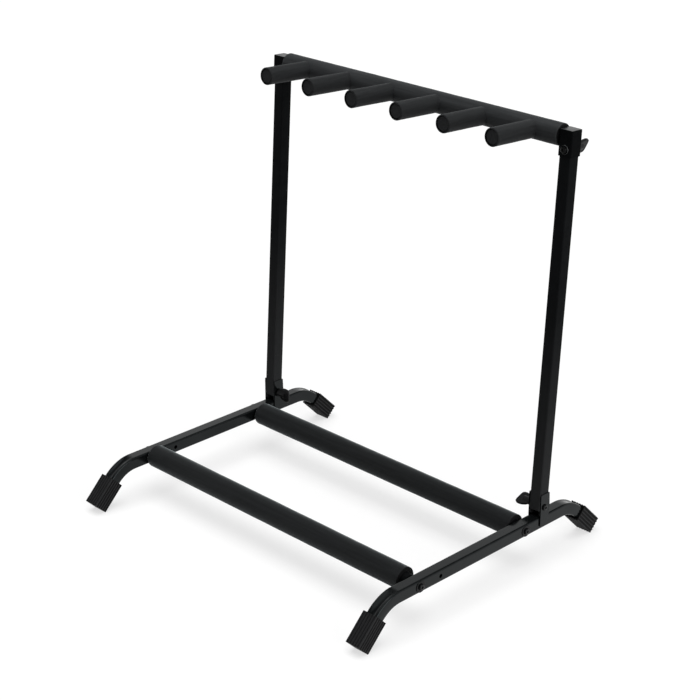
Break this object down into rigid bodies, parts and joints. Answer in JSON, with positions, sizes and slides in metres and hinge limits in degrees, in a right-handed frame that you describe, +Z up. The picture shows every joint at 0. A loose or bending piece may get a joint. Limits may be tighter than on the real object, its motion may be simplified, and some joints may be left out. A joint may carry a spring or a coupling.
{
  "type": "guitar rack",
  "caption": "Folding floor rack for guitars: bent tube rails on rubber feet, padded cross bars, and uprights carrying a padded neck bar with pegs.",
  "frame": {"origin": "on the floor, midway between the rails and between the front and rear feet", "axes": "X along the cross bars to the right, Y from the front feet to the back, Z up"},
  "size_m": [0.6194, 0.5344, 0.6774],
  "materials": {
    "black_paint": "satin powder coat",
    "black_rubber": "matte, ribbed",
    "charcoal_foam": "matte closed-cell foam",
    "blackened_steel": "dark, half gloss",
    "black_plastic": "moulded"
  },
  "bodies": {
    "base": {"base_rail_left": "black_paint", "ear_outer_left": "black_paint", "ear_inner_left": "black_paint", "foot_front_left": "black_rubber", "cross_washer_front_left": "blackened_steel", "cross_bolt_front_left": "blackened_steel", "foot_rear_left": "black_rubber", "cross_washer_rear_left": "blackened_steel", "cross_bolt_rear_left": "blackened_steel", "pivot_bolt_left": "blackened_steel", "pivot_washer_left": "blackened_steel", "base_rail_right": "black_paint", "ear_outer_right": "black_paint", "ear_inner_right": "black_paint", "foot_front_right": "black_rubber", "cross_washer_front_right": "blackened_steel", "cross_bolt_front_right": "blackened_steel", "foot_rear_right": "black_rubber", "cross_washer_rear_right": "blackened_steel", "cross_bolt_rear_right": "blackened_steel", "pivot_bolt_right": "blackened_steel", "pivot_washer_right": "blackened_steel", "cross_tube_front": "black_paint", "cross_foam_front": "charcoal_foam", "cross_tube_rear": "black_paint", "cross_foam_rear": "charcoal_foam"},
    "mast": {"upright_left": "black_paint", "socket_left": "black_paint", "socket_bolt_left": "blackened_steel", "socket_washer_left": "blackened_steel", "upright_right": "black_paint", "socket_right": "black_paint", "socket_bolt_right": "blackened_steel", "socket_washer_right": "blackened_steel", "neck_bar_tube": "black_paint", "neck_bar_foam": "charcoal_foam", "peg_post_1": "black_paint", "peg_foam_1": "charcoal_foam", "peg_disc_1": "black_plastic", "peg_post_2": "black_paint", "peg_foam_2": "charcoal_foam", "peg_disc_2": "black_plastic", "peg_post_3": "black_paint", "peg_foam_3": "charcoal_foam", "peg_disc_3": "black_plastic", "peg_post_4": "black_paint", "peg_foam_4": "charcoal_foam", "peg_disc_4": "black_plastic", "peg_post_5": "black_paint", "peg_foam_5": "charcoal_foam", "peg_disc_5": "black_plastic", "peg_post_6": "black_paint", "peg_foam_6": "charcoal_foam", "peg_disc_6": "black_plastic"},
    "pivot_knob_left": {"pivot_wing_nut_left": "black_plastic"},
    "pivot_knob_right": {"pivot_wing_nut_right": "black_plastic"},
    "socket_knob_left": {"socket_wing_nut_left": "black_plastic"},
    "socket_knob_right": {"socket_wing_nut_right": "black_plastic"}
  },
  "joints": [
    {"name": "mast_fold", "type": "hinge", "parent": "base", "child": "mast", "pos_m": [0, 0.1318, 0.0878], "axis": [1, 0, 0], "range_deg": [0, 90]},
    {"name": "pivot_knob_turn_left", "type": "hinge", "parent": "base", "child": "pivot_knob_left", "pos_m": [-0.295, 0.1318, 0.0878], "axis": [1, 0, 0], "continuous": true},
    {"name": "pivot_knob_turn_right", "type": "hinge", "parent": "base", "child": "pivot_knob_right", "pos_m": [0.295, 0.1318, 0.0878], "axis": [1, 0, 0], "continuous": true},
    {"name": "socket_knob_turn_left", "type": "hinge", "parent": "mast", "child": "socket_knob_left", "pos_m": [-0.295, 0.16542, 0.64058], "axis": [0, 0.9982, -0.0607], "continuous": true},
    {"name": "socket_knob_turn_right", "type": "hinge", "parent": "mast", "child": "socket_knob_right", "pos_m": [0.295, 0.16542, 0.64058], "axis": [0, 0.9982, -0.0607], "continuous": true}
  ]
}
